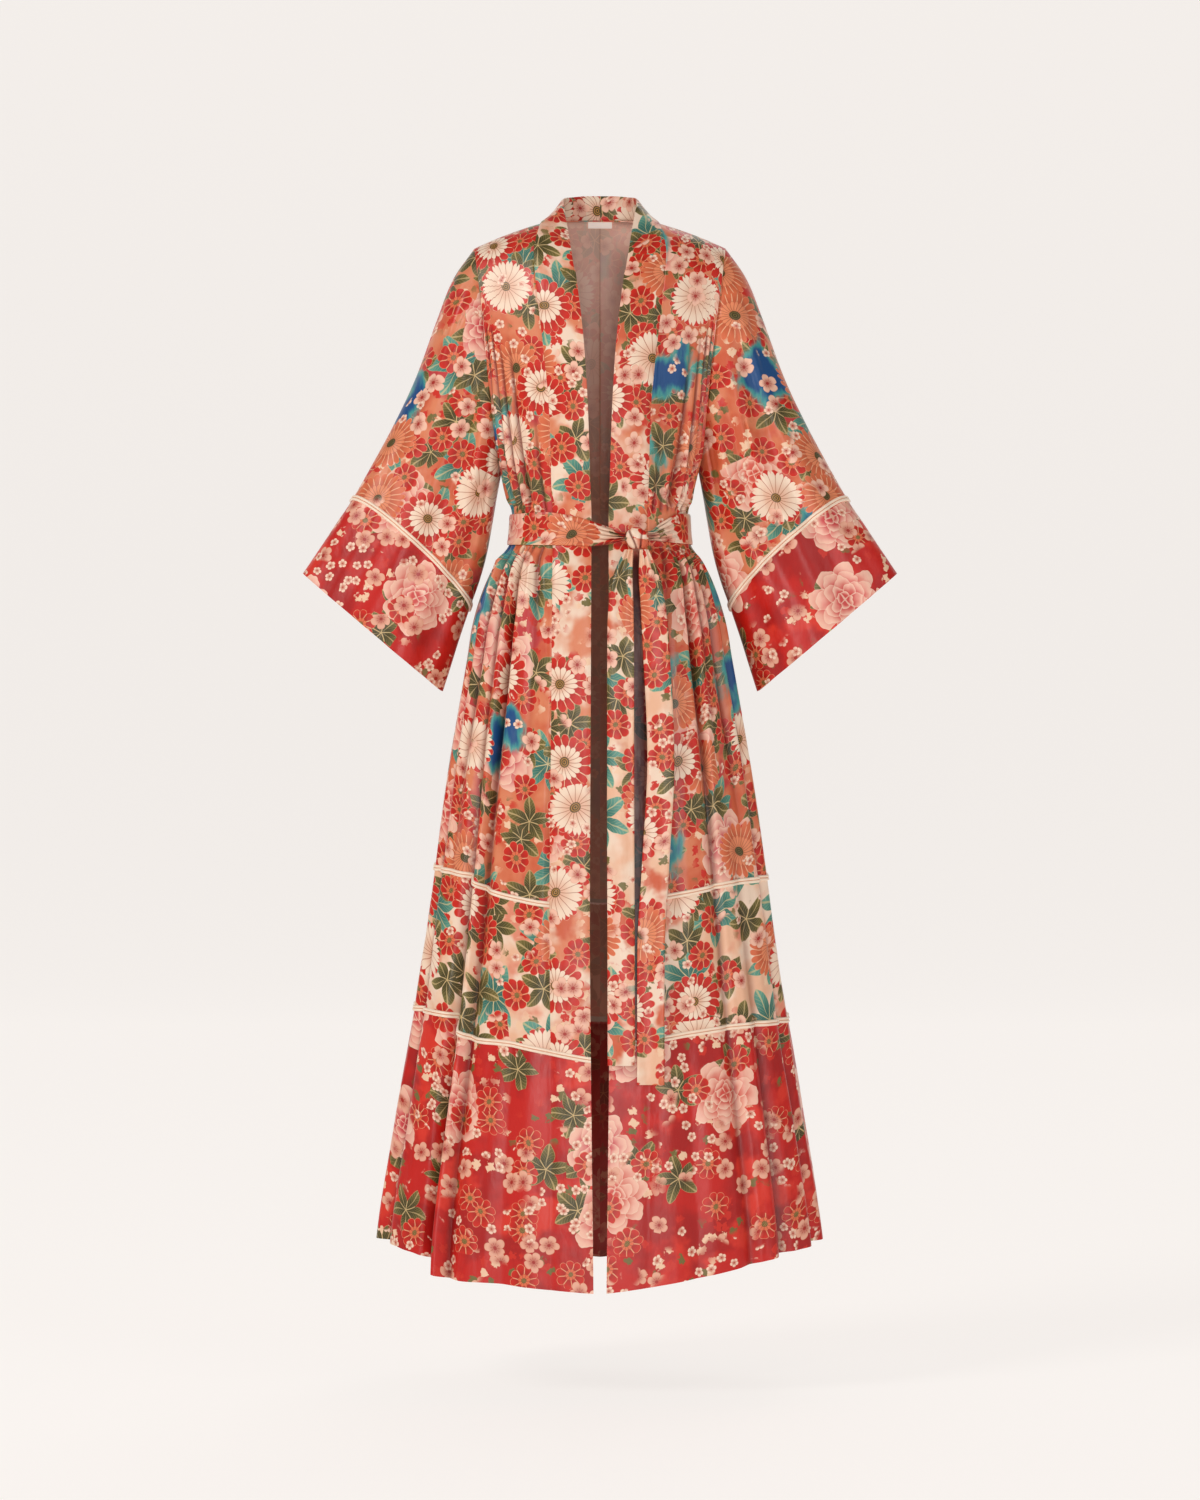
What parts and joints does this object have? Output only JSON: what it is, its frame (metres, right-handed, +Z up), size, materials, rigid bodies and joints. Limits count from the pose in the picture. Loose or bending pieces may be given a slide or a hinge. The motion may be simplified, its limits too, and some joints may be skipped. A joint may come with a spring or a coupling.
{
  "type": "kimono robe",
  "caption": "Long open kimono robe in floral satin, with wide banded sleeves, a tiered skirt with piped seams, a red border and a tied belt.",
  "frame": {"origin": "on the centre plane between the shoulders, 12 mm below the neck points, where the wearer holds the robe up", "axes": "+Z up towards the neck, -Y out of the open front, +X towards the wearer's left sleeve"},
  "size_m": [0.796, 0.3709, 1.4551],
  "materials": {
    "main_print": "satin, coral ground with a floral print, greyed wrong side",
    "middle_print": "satin, cream ground with a floral print, greyed wrong side",
    "border_print": "satin, red ground with pink blossoms, dark wrong side",
    "band_print": "satin neckband in the floral print",
    "belt_print": "satin belt in the floral print",
    "piping": "cream satin piping",
    "label": "plain woven ribbon, blank"
  },
  "bodies": {
    "root": {"front_left": "main_print", "back_left": "main_print", "middle_front_left": "middle_print", "middle_back_left": "middle_print", "hem_front_left": "border_print", "hem_back_left": "border_print", "band_left": "band_print", "sleeve_left": "main_print", "cuff_left": "border_print", "cuff_piping_left": "piping", "piping_upper_left": "piping", "piping_lower_left": "piping", "front_right": "main_print", "back_right": "main_print", "middle_front_right": "middle_print", "middle_back_right": "middle_print", "hem_front_right": "border_print", "hem_back_right": "border_print", "band_right": "band_print", "sleeve_right": "main_print", "cuff_right": "border_print", "cuff_piping_right": "piping", "piping_upper_right": "piping", "piping_lower_right": "piping", "belt_waist": "belt_print", "belt_knot": "belt_print", "belt_tail_left": "belt_print", "belt_tail_right": "belt_print", "neck_label": "label"}
  },
  "joints": []
}
